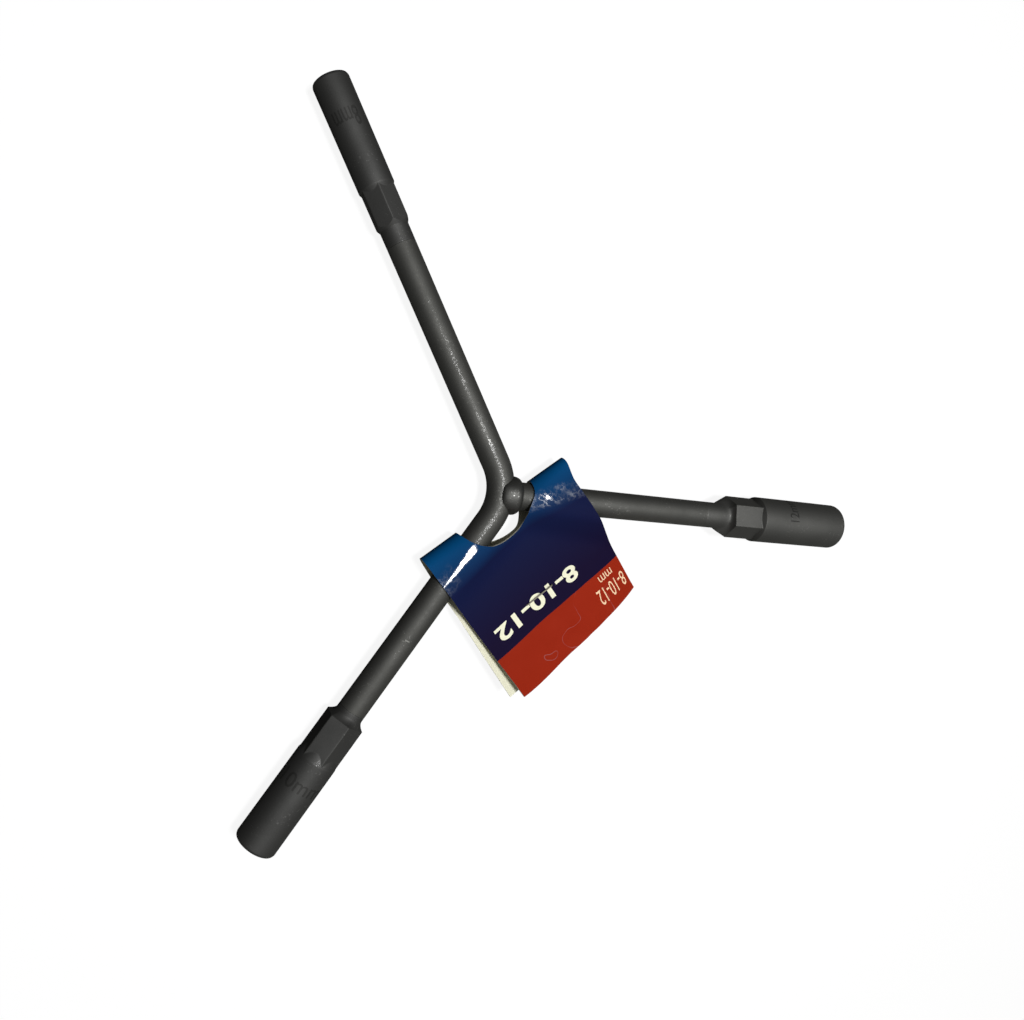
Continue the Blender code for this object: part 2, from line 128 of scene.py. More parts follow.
# What the sockets share. The corner's reach is a typical radius there, and the rim's middle lies at a
# share of its radius.
CORNER_RADIUS = 0.00035
CORNER_REACH = 0.0065
CORNER_STEPS = 4
FLAT_STEPS = 16
SHOULDER_STEPS = 18
RIM_RADIUS = 0.001
RIM_MIDDLE = 0.29
NUT_CLEARANCE = 0.0001
LEAD_IN_SHARE = 0.6
HEX_DEPTH = 0.014
BORE_STEP = 0.0002
DRILL_DEPTH = 0.030
DRILL_RADIUS_UNDER = 0.0001
DRILL_POINT_ANGLE = 59.0
DRILL_TIP = 0.0001
EDGE_FILLET = 0.00025
FILLET_SHARE = 0.45
FILLET_STEPS = 3
SEAM_DEPTH = 0.00012
SEAM_LENGTH = 0.00035

# Card tag. Places on it are along the fold and away from the fold. It rises and gapes at its left edge,
# drops at its right one, and is drawn in there and along the straight arm. The shortenings are for
# the left and right corner of a leaf.
FOLD_HEADING = 39.8
FOLD_PLACE = 0.0007
CARD_WIDTH = 0.0627
UPPER_LENGTH = 0.06695
LOWER_LENGTH = 0.0655
CARD_LENGTH = UPPER_LENGTH + LOWER_LENGTH
CARD_THICKNESS = 0.00045
CARD_MIDDLE = -0.00755
CARD_SKEW = 1.6
HOLE_RADIUS = 0.0161
HOLE_MIDDLE = -0.0075
HOLE_SIDES = 120
CUTTER_DEPTH = 0.0036
REST_GAP = 0.0005
RIDGE_SLOPE = 35.0
FOLD_SLOPE = 11.0
RIDGE_BLEND = 0.002
LEAF_GAP = 0.0011
LEFT_RISE = 0.0049
LEFT_GAPE = 0.0025
RIGHT_DROP = 0.0055
RISE_AT_FOLD = 0.35
GAPE_AT_FOLD = 0.5
EDGE_CURVE = 1.5
RIGHT_DRAW = 0.0019
DRAW_REACH = 0.010
SHORTENED_FROM = 0.026
UPPER_SHORTENING = (0.0895, 0.0444)
LOWER_SHORTENING = (0.0, 0.0737)
SHORTENING_CURVE = 2.5
ARM_DRAW = 0.0019
ARM_DRAW_MIDDLE = 0.0042
ARM_DRAW_REACH = 0.008
ARM_DRAW_START = 0.010
ARM_DRAW_END = 0.024
TAG_TRAVEL = 0.003
CARD_CELLS_ACROSS = 64
CARD_CELLS_LONG = 130
BAND_RUN = 0.0495
PRINTED_SIDE, INSIDE, CUT_EDGE = range(3)

# Tables of the folded card's surface, which reach a margin past its edges.
CARD_MARGIN = 0.004
TABLE_PLACES = 121
TABLE_RUNS = 321
FOLD_TRIES = 5
FOLD_POINTS = 40
LEAF_POINTS = 900

# Staple through both leaves. Its seat is how far its middle lies off the card, as a share of the wire.
STAPLE_ALONG_FOLD = -0.01095
STAPLE_FROM_FOLD = 0.0373
STAPLE_WIRE = 0.0005
STAPLE_FLATTEN = 1.15
STAPLE_SEAT = 0.42
STAPLE_CROWN = 0.0127
STAPLE_CLINCH = 0.0042
STAPLE_TIP_DROP = 0.0001
STAPLE_BEND = 0.0006
STAPLE_BEND_STEPS = 6
STAPLE_SIDES = 16

# Places on the printed leaf, across and away from the fold: a crease and a cracked patch that catch the key
# light, with painted highlight in their colour.
CREASE_START = (-0.0140, 0.0093)
CREASE_SPAN = (0.0155, 0.0036)
CREASE_HALF = 0.0016
CRACKLE_PLACE = (0.0181, 0.0112)
CRACKLE_SLOPE = 0.25

# Numbers printed on the card: height, length, place across, place from the fold, lean, bolder by.
SMALL_SIZES = (0.0066, 0.0154, 0.0221, 0.0590, -2.0)
UNIT = (0.0027, 0.0072, 0.0222, 0.0524, 0.0)
LARGE_SIZES = (0.0060, 0.0392, -0.0066, 0.0426, 0.0, 0.00025)
PRINT_CELL = 0.0012
PRINT_LIFT = 0.00003

# Sizes stamped on the barrels: height, length, place along the arm, degrees from +Z.
STAMP_8MM = (0.0058, 0.0088, 0.1301, 14.0)
STAMP_10MM = (0.0050, 0.0165, 0.1187, -6.0)
STAMP_12MM = (0.0042, 0.0110, 0.1183, 40.0)
STAMP_CELL = 0.0005
STAMP_DEPTH = 0.00010
STAMP_SINK = 0.00002

# Height of a numeral as a share of its font size.
NUMERAL_SHARE = 0.7

# Colours, as linear values. Where there are two, the surface varies between them.
BAR_TONE = (0.104, 0.104, 0.098)
SOCKET_TONE = (0.086, 0.086, 0.084)
LARGE_SOCKET_TONE = (0.112, 0.112, 0.107)
WELD_TONE = (0.088, 0.088, 0.084)
# Painted shade: the raised numerals are darker, standing in for the shade in engraved ones.
PAINTED_STAMP_SHADE = (0.060, 0.060, 0.058)
# Painted shade: the plating's colour darkens towards this in creases and hollows.
PAINTED_SHADE_TONE = (0.005, 0.005, 0.005)
METAL_TINT = (0.45, 0.45, 0.45, 1)
WIRE_TONES = ((0.16, 0.15, 0.12), (0.30, 0.28, 0.23))
FOLD_BLUE = (0.0015, 0.058, 0.175)
DEEP_BLUE = (0.0065, 0.0100, 0.046)
NAVY = (0.0085, 0.0050, 0.025)
BAND_REDS = ((0.255, 0.016, 0.0045), (0.300, 0.022, 0.008))
WORN_TONE = (0.38, 0.40, 0.45)
# Painted highlight: the card's colour is whitened towards this where it catches the key light.
PAINTED_GLARE_TONE = (0.75, 0.76, 0.80)
INSIDE_TONES = ((0.76, 0.75, 0.60), (0.70, 0.69, 0.53))
EDGE_TONES = ((0.45, 0.44, 0.36), (0.30, 0.29, 0.24))
CREAM_INK = ((0.62, 0.60, 0.42), (0.80, 0.79, 0.60))
WARM_INK = ((0.66, 0.36, 0.20), (0.86, 0.60, 0.38))

# Floor, which glows so that it looks white to the camera.
FLOOR_SIZE = 6
FLOOR_TONE = (0.11, 0.11, 0.11, 1)
FLOOR_GLOW = 0.90

# Light, in the arms' frame. The fill comes from all round and is stronger on one side.
KEY_PLACE = Vector((0.100, 0.011, 0.715))
KEY_SIZE = 0.12
KEY_POWER = 5.1
FILL_LEVEL = 0.155
FILL_LEAN = (0.10, -0.09, 0.0)
FILL_TONE = (1.0, 1.0, 0.95, 1)

# Camera, in the arms' frame.
CAMERA_PLACE = Vector((-0.079594, 0.004615, 0.235116))
CAMERA_TARGET = Vector((0.001786, -0.005797, 0.0))
CAMERA_ROLL = -6.05
CAMERA_LENS = 24.498
CAMERA_SENSOR = 36
CAMERA_CLIP = 0.01

# Points that lie closer than this are one.
SAME_PLACE = 1e-7

UP = Vector((0, 0, 1))


def direction(heading):
    """Unit vector in the plane of the arms."""
    angle = math.radians(heading)
    return Vector((math.cos(angle), math.sin(angle), 0))


def lead_in_radius(socket):
    """Radius of the cone at a socket's mouth, between the bore's flats and its corners."""
    bore = socket["nut"] + NUT_CLEARANCE
    return bore / 2 * (1 + LEAD_IN_SHARE * (1 / math.cos(math.radians(30)) - 1))


def arms_frame():
    """Matrix from the plane of the arms to the world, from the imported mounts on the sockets' mouths."""
    mounts = {mount["name"]: mount for mount in frame["record"]["mounts"]}
    straight = Vector(mounts["mouth_12mm"]["axis"]).normalized()
    top = Vector(mounts["mouth_8mm"]["axis"])
    normal = straight.cross(top).normalized()
    side = normal.cross(straight)
    socket = SOCKET_12MM
    radius = (lead_in_radius(socket) + socket["barrel"] / 2 - RIM_RADIUS) / 2
    angle = math.radians(socket["corner_angle"] + 30)
    start = Vector(mounts["mouth_12mm"]["pos_m"]) - straight * ARM_LENGTH
    start -= side * (STRAIGHT_OFFSET + radius * math.sin(angle)) + normal * radius * math.cos(angle)
    matrix = Matrix((straight, side, normal)).transposed().to_4x4()
    matrix.translation = start
    return matrix


ARMS = arms_frame()


def plain_object(name, bm):
    """Object from a bmesh as it is."""
    mesh = bpy.data.meshes.new(name)
    bm.to_mesh(mesh)
    bm.free()
    made = bpy.data.objects.new(name, mesh)
    bpy.context.scene.collection.objects.link(made)
    return made


def make_object(name, bm, local=None, smooth_below=35.0):
    """Smoothly shaded object from a bmesh whose places are in a local frame of the arms' plane."""
    bmesh.ops.remove_doubles(bm, verts=bm.verts, dist=SAME_PLACE)
    bmesh.ops.recalc_face_normals(bm, faces=bm.faces)
    bmesh.ops.transform(bm, matrix=ARMS @ (local or Matrix()), verts=bm.verts)
    made = plain_object(name, bm)
    made.data.shade_smooth()
    made.data.set_sharp_from_angle(angle=math.radians(smooth_below))
    return made


def dress(piece, material, body, slot, *nodes):
    """Gives a piece its material and its body, and hides the CAD nodes that it stands for. Its slot is not
    used.
    """
    piece.data.materials.append(material)
    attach(piece, body)
    if nodes:
        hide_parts(*nodes)


def bridge(bm, first, second):
    """Faces between two rings with equally many vertices."""
    for index in range(len(first)):
        after = (index + 1) % len(first)
        bm.faces.new((first[index], first[after], second[after], second[index]))


def ring_stack(rings):
    """Closed mesh from rings of points, its first and last ring filled."""
    bm = bmesh.new()
    loops = [[bm.verts.new(point) for point in ring] for ring in rings]
    for first, second in zip(loops, loops[1:]):
        bridge(bm, first, second)
    bm.faces.new(loops[0])
    bm.faces.new(loops[-1])
    return bm


def swept(points, radius, sides, plane_normal, flatten=1.0):
    """Closed round bar along points in one plane. Flatten scales its height along the normal."""
    rings = []
    for index, point in enumerate(points):
        before = points[max(index - 1, 0)]
        after = points[min(index + 1, len(points) - 1)]
        side = plane_normal.cross((after - before).normalized())
        ring = []
        for step in range(sides):
            angle = 2 * math.pi * step / sides
            outward = side * math.sin(angle) + plane_normal * math.cos(angle) * flatten
            ring.append(point + radius * outward)
        rings.append(ring)
    return ring_stack(rings)


def rounded_path(corners, radius, steps):
    """Points along straight runs between the corners, with each inner corner rounded."""
    points = [corners[0]]
    for before, corner, after in zip(corners, corners[1:], corners[2:]):
        arriving = (corner - before).normalized()
        leaving = (after - corner).normalized()
        turn = arriving.angle(leaving)
        start = corner - arriving * radius * math.tan(turn / 2)
        inward = (leaving - arriving * leaving.dot(arriving)).normalized()
        for step in range(steps + 1):
            angle = turn * step / steps
            along = arriving * radius * math.sin(angle)
            points.append(start + along + inward * radius * (1 - math.cos(angle)))
    points.append(corners[-1])
    return points


def with_cells(points, longest):
    """The same path with its long runs divided."""
    divided = [points[0]]
    for start, end in zip(points, points[1:]):
        count = max(1, round((end - start).length / longest))
        divided += [start.lerp(end, step / count) for step in range(1, count + 1)]
    return divided


def weld_line(socket):
    """Place along an arm where its socket is welded to the bar."""
    lengths = ("barrel_length", "step_length", "hexagon_length", "shoulder_length", "shank_length")
    return ARM_LENGTH - sum(socket[length] for length in lengths)


def bend_outside():
    """Place of the bent bar's outside on the straight arm's axis."""
    half_turn = math.radians(180 - (LEFT_HEADING - TOP_HEADING)) / 2
    return ROD_RADIUS - BEND_RADIUS * (1 / math.cos(half_turn) - 1)


def make_bent_rod():
    ends = [direction(socket["heading"]) * weld_line(socket) for socket in (SOCKET_8MM, SOCKET_10MM)]
    path = rounded_path([ends[0], Vector((0, 0, 0)), ends[1]], BEND_RADIUS, BEND_STEPS)
    return make_object("bent_bar", swept(with_cells(path, ROD_CELL), ROD_RADIUS, ROD_SIDES, UP))


def make_straight_rod():
    start = Vector((bend_outside() - ROD_RADIUS / 2, STRAIGHT_OFFSET, 0))
    end = Vector((weld_line(SOCKET_12MM), STRAIGHT_OFFSET, 0))
    return make_object("straight_bar", swept(with_cells([start, end], ROD_CELL), ROD_RADIUS, ROD_SIDES, UP))


def make_bead():
    """Rounded ring of weld that runs out over the bend and steps down to the straight bar."""
    middle = bend_outside() - BEAD_SETBACK
    inner = ROD_RADIUS - BEAD_SINK
    rings = []
    for step in range(-BEAD_STEPS, BEAD_STEPS + 1):
        angle = math.pi / 2 * step / BEAD_STEPS
        length = BEAD_BACK if step < 0 else BEAD_FRONT
        place = middle + length * math.sin(angle)
        radius = inner + (BEAD_RADIUS - inner) * math.cos(angle) ** BEAD_POWER
        ring = []
        for turn_step in range(BEAD_SIDES):
            turn = 2 * math.pi * turn_step / BEAD_SIDES
            wide_ripple = BEAD_WIDE_RIPPLE * math.sin(3 * turn + 0.7)
            fine_ripple = BEAD_FINE_RIPPLE * math.sin(7 * turn + 2 * angle)
            rippled = radius * (1 + wide_ripple + fine_ripple)
            ring.append((place, STRAIGHT_OFFSET + rippled * math.sin(turn), rippled * math.cos(turn)))
        rings.append(ring)
    return make_object("weld_bead", ring_stack(rings), smooth_below=60.0)


def filleted(profile, radius):
    """Profile of (place, radius) points with each inner corner rounded, as many points for any profile."""
    points = [Vector(point) for point in profile]
    smooth = [points[0]]
    for before, corner, after in zip(points, points[1:], points[2:]):
        into = before - corner
        out = after - corner
        reach = min(radius, into.length * FILLET_SHARE, out.length * FILLET_SHARE)
        start = corner + into.normalized() * reach
        end = corner + out.normalized() * reach
        for step in range(FILLET_STEPS + 1):
            share = step / FILLET_STEPS
            smooth.append(start.lerp(corner, share).lerp(corner.lerp(end, share), share))
    smooth.append(points[-1])
    return smooth


def hexagon_turns():
    """Angles round a hexagon with a corner at 0, closer together on its rounded corners."""
    corner_half = CORNER_RADIUS / 2 / CORNER_REACH
    turns = []
    for corner in range(6):
        base = math.pi / 3 * corner
        turns += [base + corner_half * (2 * step / CORNER_STEPS - 1) for step in range(CORNER_STEPS)]
        span = math.pi / 3 - 2 * corner_half
        turns += [base + corner_half + span * step / FLAT_STEPS for step in range(FLAT_STEPS)]
    return turns


def hexagon_radius(across_flats, turn, corner_radius):
    """Radius of a hexagon with rounded corners, at an angle from one corner."""
    from_corner = abs((turn + math.pi / 6) % (math.pi / 3) - math.pi / 6)
    flat = across_flats / 2 / math.cos(math.pi / 6 - from_corner)
    centre = (across_flats / 2 - corner_radius) / math.cos(math.pi / 6)
    under = corner_radius**2 - (centre * math.sin(from_corner)) ** 2
    round_end = math.atan2(corner_radius / 2, centre + corner_radius * math.cos(math.pi / 6))
    if under <= 0 or from_corner > round_end:
        return flat
    return centre * math.cos(from_corner) + math.sqrt(under)


def shoulder_points(socket, turn, end, outer, corner):
    """Rise from the bar to the hexagon on one line along a socket, as (place, radius) points."""
    back = (corner - outer) / (corner - ROD_RADIUS) * socket["shoulder_cone"]
    upright = math.cos(turn + math.radians(socket["corner_angle"])) ** 2
    curve = socket["shoulder_curve"] * (1 + upright * socket["shoulder_steepness"])
    points = []
    for step in range(SHOULDER_STEPS + 1):
        share = math.sin(math.pi / 2 * step / SHOULDER_STEPS)
        radius = ROD_RADIUS + (outer - ROD_RADIUS) * share**curve
        points.append((end - socket["shoulder_length"] * (1 - share * (1 - back)), radius))
    return points


def socket_profile(socket, turn):
    """Outside and bore of a socket on one line along it, as (place, radius) points."""
    mouth = ARM_LENGTH
    rear = weld_line(socket)
    barrel_start = mouth - socket["barrel_length"]
    hexagon_start = barrel_start - socket["step_length"] - socket["hexagon_length"]
    barrel = socket["barrel"] / 2
    step_slope = socket["step_length"] / (barrel - socket["hexagon"] / 2)
    outer = min(hexagon_radius(socket["hexagon"], turn, CORNER_RADIUS), barrel)
    corner = min(hexagon_radius(socket["hexagon"], 0, CORNER_RADIUS), barrel)
    inner = hexagon_radius(socket["nut"] + NUT_CLEARANCE, turn, CORNER_RADIUS / 2)
    opening = max(inner, lead_in_radius(socket))
    drill = socket["nut"] / 2 - DRILL_RADIUS_UNDER
    profile = [
        (rear, ROD_RADIUS - SEAM_DEPTH),
        (rear + SEAM_LENGTH, ROD_RADIUS),
        *shoulder_points(socket, turn, hexagon_start, outer, corner),
        (barrel_start - (barrel - outer) * step_slope, outer),
        (barrel_start, barrel),
        (mouth - RIM_RADIUS, barrel),
        (mouth - RIM_RADIUS * RIM_MIDDLE, barrel - RIM_RADIUS * RIM_MIDDLE),
        (mouth, barrel - RIM_RADIUS),
        (mouth, opening),
        (mouth - (opening - inner), inner),
        (mouth - HEX_DEPTH, inner),
        (mouth - HEX_DEPTH - BORE_STEP, drill),
        (mouth - DRILL_DEPTH, drill),
        (mouth - DRILL_DEPTH - drill / math.tan(math.radians(DRILL_POINT_ANGLE)), DRILL_TIP),
    ]
    return filleted(profile, EDGE_FILLET)


def arm_matrix(socket):
    """Matrix from a frame with +X along a socket's arm to the arms' frame."""
    turned = Matrix.Rotation(math.radians(socket["heading"]), 4, "Z")
    return Matrix.Translation((0, socket["offset"], 0)) @ turned


def make_socket(name, socket):
    turns = hexagon_turns()
    columns = [socket_profile(socket, turn) for turn in turns]
    rings = []
    for index in range(len(columns[0])):
        ring = []
        for turn, column in zip(turns, columns):
            place, radius = column[index]
            angle = turn + math.radians(socket["corner_angle"])
            ring.append((place, radius * math.sin(angle), radius * math.cos(angle)))
        rings.append(ring)
    return make_object(name, ring_stack(rings), arm_matrix(socket), smooth_below=28.0)


def soft_max(first, second, blend):
    """Larger of two heights, rounded where they lie within the blend of each other."""
    near = np.maximum(blend - np.abs(first - second), 0) / blend
    return np.maximum(first, second) + near * near * blend / 4


def ease(share):
    """Smooth step from 0 to 1."""
    share = np.clip(share, 0, 1)
    return share * share * (3 - 2 * share)


CREST = ROD_RADIUS + REST_GAP + CARD_THICKNESS / 2


def ridge(distance, travel):
    """Height of a leaf over an arm, at a distance from the arm's axis, away from the fold."""
    slope = np.where(distance > 0, math.radians(RIDGE_SLOPE), math.radians(FOLD_SLOPE))
    past = np.maximum(np.maximum(distance - travel, -distance), 0)
    bend = CREST * np.sin(slope)
    arc = np.sqrt(np.maximum(CREST**2 - np.minimum(past, bend) ** 2, 0))
    return np.where(past < bend, arc, CREST * np.cos(slope) - (past - bend) * np.tan(slope))


def past_arm(along, away, heading, offset):
    """(distance, travel) of a place on a leaf past an arm's axis, and the tag's slide in that direction."""
    from_fold = math.radians(heading - FOLD_HEADING)
    side = -1 if math.cos(from_fold) > 0 else 1
    distance = abs(math.cos(from_fold)) * away + side * abs(math.sin(from_fold)) * along + offset
    travel = TAG_TRAVEL * abs(math.sin(math.radians(TOP_HEADING - heading)))
    return distance, travel


def edge_shares(along):
    """(left, right) shares of the way from the staple to each side edge of the card."""
    left = (STAPLE_ALONG_FOLD - along) / (STAPLE_ALONG_FOLD - CARD_MIDDLE + CARD_WIDTH / 2)
    right = (along - STAPLE_ALONG_FOLD) / (CARD_MIDDLE + CARD_WIDTH / 2 - STAPLE_ALONG_FOLD)
    return max(left, 0), max(right, 0)


def leaf_height(along, away, side):
    """Height of a leaf over the arms' plane. Side is 1 for the upper leaf and -1 for the lower."""
    left, right = (share**EDGE_CURVE for share in edge_shares(along))
    lower = ease((away - STAPLE_FROM_FOLD) / (LOWER_LENGTH - STAPLE_FROM_FOLD))
    middle = (LEFT_RISE * left - RIGHT_DROP * right) * (RISE_AT_FOLD + (1 - RISE_AT_FOLD) * lower)
    opening = LEAF_GAP / 2 + LEFT_GAPE * left * (GAPE_AT_FOLD + (1 - GAPE_AT_FOLD) * lower)
    height = opening + side * middle
    for heading, offset in ((LEFT_HEADING, 0.0), (0.0, STRAIGHT_OFFSET)):
        height = soft_max(height, ridge(*past_arm(along, away, heading, offset)), RIDGE_BLEND)
    return side * height


def drawn_in(along, away, height, side):
    """Place on a bent leaf, drawn in at its right edge, at its corners and along the straight arm."""
    left, right = edge_shares(along)
    leaf = UPPER_SHORTENING if side > 0 else LOWER_SHORTENING
    share = leaf[0] * left**SHORTENING_CURVE + leaf[1] * right**SHORTENING_CURVE
    shortened = away - share * max(away - SHORTENED_FROM, 0)
    inward = along - RIGHT_DRAW * right**2 * float(ease(away / DRAW_REACH))

    heading = math.radians(FOLD_HEADING)
    from_middle = abs(past_arm(along, away, 0.0, STRAIGHT_OFFSET)[0] - ARM_DRAW_MIDDLE)
    outward = along * math.cos(heading) + away * math.sin(heading)
    draw = ARM_DRAW * float(ease(1 - from_middle / ARM_DRAW_REACH))
    draw *= float(ease((ARM_DRAW_END - outward) / (ARM_DRAW_END - ARM_DRAW_START)))
    return Vector((inward - draw * math.cos(heading), draw * math.sin(heading) - shortened, height))


def leaf_table(places, runs, side):
    """Tables of (away, height) for one leaf: a row for each place along the fold, a column for each run."""
    aways, heights = [], []
    angle = math.radians(90 - FOLD_SLOPE)
    for along in places:
        radius = CREST
        for _ in range(FOLD_TRIES):
            start = FOLD_PLACE + radius * (1 - math.cos(angle))
            radius = float(side * leaf_height(along, start, side)) / math.sin(angle)
        start = FOLD_PLACE + radius * (1 - math.cos(angle))
        turns = np.linspace(0, angle, FOLD_POINTS)
        flat = np.linspace(start, start + UPPER_LENGTH, LEAF_POINTS)[1:]
        away = np.concatenate([FOLD_PLACE + radius * (1 - np.cos(turns)), flat])
        height = np.concatenate([side * radius * np.sin(turns), leaf_height(along, flat, side)])
        lengths = np.concatenate([[0], np.cumsum(np.hypot(np.diff(away), np.diff(height)))])
        aways.append(np.interp(runs, lengths, away))
        heights.append(np.interp(runs, lengths, height))
    return np.array(aways), np.array(heights)


class Card:
    """The folded card: card.point gives the place of a point on the flat card."""

    def __init__(self):
        reach = CARD_WIDTH / 2 + CARD_MARGIN
        self.places = np.linspace(CARD_MIDDLE - reach, CARD_MIDDLE + reach, TABLE_PLACES)
        self.runs = np.linspace(0, UPPER_LENGTH + CARD_MARGIN, TABLE_RUNS)
        self.tables = {side: leaf_table(self.places, self.runs, side) for side in (1, -1)}

    def surface(self, along, run):
        """Place on the middle of the card's thickness, a run from the fold, below it where negative."""
        side = 1 if run >= 0 else -1
        column = (along - self.places[0]) / (self.places[1] - self.places[0])
        row = abs(run) / self.runs[1]
        i = int(min(max(column, 0), len(self.places) - 2))
        j = int(min(max(row, 0), len(self.runs) - 2))
        x, y = column - i, row - j
        away, height = (
            table[i, j] * (1 - x) * (1 - y)
            + table[i + 1, j] * x * (1 - y)
            + table[i, j + 1] * (1 - x) * y
            + table[i + 1, j + 1] * x * y
            for table in self.tables[side]
        )
        return drawn_in(along, float(away), float(height), side)

    def point(self, along, run, level, small=0.0002):
        """Place at a level over the middle of the card's thickness."""
        across = self.surface(along + small, run) - self.surface(along - small, run)
        down = self.surface(along, run + small) - self.surface(along, run - small)
        return self.surface(along, run) + down.cross(across).normalized() * level

    def printed(self, across, run, level):
        """Place of a point given in the card's own square frame."""
        skew = math.radians(CARD_SKEW)
        along = CARD_MIDDLE + across * math.cos(skew) + run * math.sin(skew)
        return self.point(along, run * math.cos(skew) - across * math.sin(skew), level)


CARD = Card()
FOLD = Matrix.Rotation(math.radians(FOLD_HEADING), 4, "Z")


def staple_leg_places():
    """(along, away) of the staple's two legs."""
    skew = math.radians(CARD_SKEW)
    half = (STAPLE_CROWN - STAPLE_WIRE) / 2
    return [
        (STAPLE_ALONG_FOLD + end * half * math.cos(skew), STAPLE_FROM_FOLD - end * half * math.sin(skew))
        for end in (-1, 1)
    ]


def flat_card():
    """Flat card as a closed sheet of cells, in the card's own square frame."""
    bm = bmesh.new()
    acrosses = [CARD_WIDTH * (cell / CARD_CELLS_ACROSS - 0.5) for cell in range(CARD_CELLS_ACROSS + 1)]
    layers = []
    for level in (-CARD_THICKNESS / 2, CARD_THICKNESS / 2):
        layer = []
        for row in range(CARD_CELLS_LONG + 1):
            run = CARD_LENGTH * row / CARD_CELLS_LONG - LOWER_LENGTH
            layer.append([bm.verts.new((across, run, level)) for across in acrosses])
        for near, far in zip(layer, layer[1:]):
            for cell in range(CARD_CELLS_ACROSS):
                bm.faces.new((near[cell], near[cell + 1], far[cell + 1], far[cell]))
        layers.append(layer)
    rims = []
    for layer in layers:
        right = [row[-1] for row in layer[1:]]
        left = [row[0] for row in reversed(layer[1:-1])]
        rims.append([*layer[0], *right, *reversed(layer[-1][:-1]), *left])
    bridge(bm, *rims)
    bmesh.ops.recalc_face_normals(bm, faces=bm.faces)
    return bm


def hole_cutter():
    """Round cutter at the place of the card's hole, on the fold line."""
    middle = (HOLE_MIDDLE - CARD_MIDDLE) * math.cos(math.radians(CARD_SKEW))
    bm = bmesh.new()
    bmesh.ops.create_cone(
        bm,
        cap_ends=True,
        segments=HOLE_SIDES,
        radius1=HOLE_RADIUS,
        radius2=HOLE_RADIUS,
        depth=CUTTER_DEPTH,
        matrix=Matrix.Translation((middle, 0, 0)),
    )
    return plain_object("card_hole", bm)


def punched_card():
    """Flat card with its hole, as a bmesh."""
    blank = plain_object("card_blank", flat_card())
    cutter = hole_cutter()
    cut = blank.modifiers.new("hole", "BOOLEAN")
    cut.operation = "DIFFERENCE"
    cut.solver = "EXACT"
    cut.object = cutter
    bm = bmesh.new()
    bm.from_object(blank, bpy.context.evaluated_depsgraph_get())
    for helper in (blank, cutter):
        bpy.data.objects.remove(helper, do_unlink=True)
    return bm


def mark_sides(bm):
    """Gives each face of the flat card its side's material, and each corner its place on the card as UV."""
    uv_layer = bm.loops.layers.uv.new("card")
    quarter = CARD_THICKNESS / 4
    for face in bm.faces:
        levels = [vertex.co.z for vertex in face.verts]
        if min(levels) > quarter:
            face.material_index = PRINTED_SIDE
        elif max(levels) < -quarter:
            face.material_index = INSIDE
        else:
            face.material_index = CUT_EDGE
        for loop in face.loops:
            across, run, _ = loop.vert.co
            loop[uv_layer].uv = (across / CARD_WIDTH + 0.5, (run + LOWER_LENGTH) / CARD_LENGTH)


def make_card(materials):
    """Folded card with its hole. Its materials are the print, the plain inside and the cut edge."""
    bm = punched_card()
    mark_sides(bm)
    for vertex in bm.verts:
        vertex.co = CARD.printed(*vertex.co)
    made = make_object("folded_card", bm, FOLD, smooth_below=50.0)
    for material in materials:
        made.data.materials.append(material)
    return made


def make_staple():
    """Flattened wire with its crown on the upper leaf and its legs clinched inwards under the lower one."""
    outside = CARD_THICKNESS / 2 + STAPLE_WIRE * STAPLE_SEAT
    ends = staple_leg_places()
    left, right = (drawn_in(*end, 0, 1) for end in ends)
    inward = (right - left).normalized()
    crown = outside + max(float(leaf_height(*end, 1)) for end in ends)
    clinch = min(float(leaf_height(*end, -1)) for end in ends) - outside
    tip = UP * (clinch - STAPLE_TIP_DROP)
    corners = [
        left + inward * STAPLE_CLINCH + tip,
        left + UP * clinch,
        left + UP * crown,
        right + UP * crown,
        right + UP * clinch,
        right - inward * STAPLE_CLINCH + tip,
    ]
    path = rounded_path(corners, STAPLE_BEND, STAPLE_BEND_STEPS)
    wire = swept(path, STAPLE_WIRE / 2, STAPLE_SIDES, UP.cross(inward), STAPLE_FLATTEN)
    return make_object("staple_wire", wire, FOLD)


def divide(bm, reach, cell):
    """Cuts the faces along a square grid, so that they can follow a curved surface."""
    for axis in (0, 1):
        normal = [0, 0, 0]
        normal[axis] = 1
        place = -reach
        while place < reach:
            spot = [0, 0, 0]
            spot[axis] = place
            geometry = [*bm.verts, *bm.edges, *bm.faces]
            bmesh.ops.bisect_plane(bm, geom=geometry, plane_co=spot, plane_no=normal, dist=SAME_PLACE)
            place += cell


def numerals(text, height, depth, cell, length, bold=0.0):
    """Mesh of plain numerals, centred, with the given height and length, and divided into small cells."""
    curve = bpy.data.curves.new("numerals", "FONT")
    curve.body = text
    curve.size = height / NUMERAL_SHARE
    curve.align_x = "CENTER"
    curve.align_y = "CENTER"
    curve.extrude = depth / 2
    curve.offset = bold
    made = bpy.data.objects.new("numerals", curve)
    bpy.context.scene.collection.objects.link(made)
    bm = bmesh.new()
    bm.from_mesh(made.to_mesh())
    bpy.data.objects.remove(made, do_unlink=True)
    for axis, wanted in ((0, length), (1, height)):
        places = [vertex.co[axis] for vertex in bm.verts]
        middle = (min(places) + max(places)) / 2
        scale = wanted / (max(places) - min(places))
        for vertex in bm.verts:
            vertex.co[axis] = (vertex.co[axis] - middle) * scale
    divide(bm, max(length, height) / 2 + cell, cell)
    return bm


def print_on_card(name, text, height, length, across, run, lean=0.0, bold=0.0):
    """Numerals printed upside down on the upper leaf, as seen with the fold at the top."""
    bm = numerals(text, height, 0, PRINT_CELL, length, bold)
    turn = math.radians(lean)
    for vertex in bm.verts:
        x, y, _ = vertex.co
        x, y = x * math.cos(turn) - y * math.sin(turn), x * math.sin(turn) + y * math.cos(turn)
        vertex.co = CARD.printed(across - x, run + y, CARD_THICKNESS / 2 + PRINT_LIFT)
    return make_object(name, bm, FOLD)


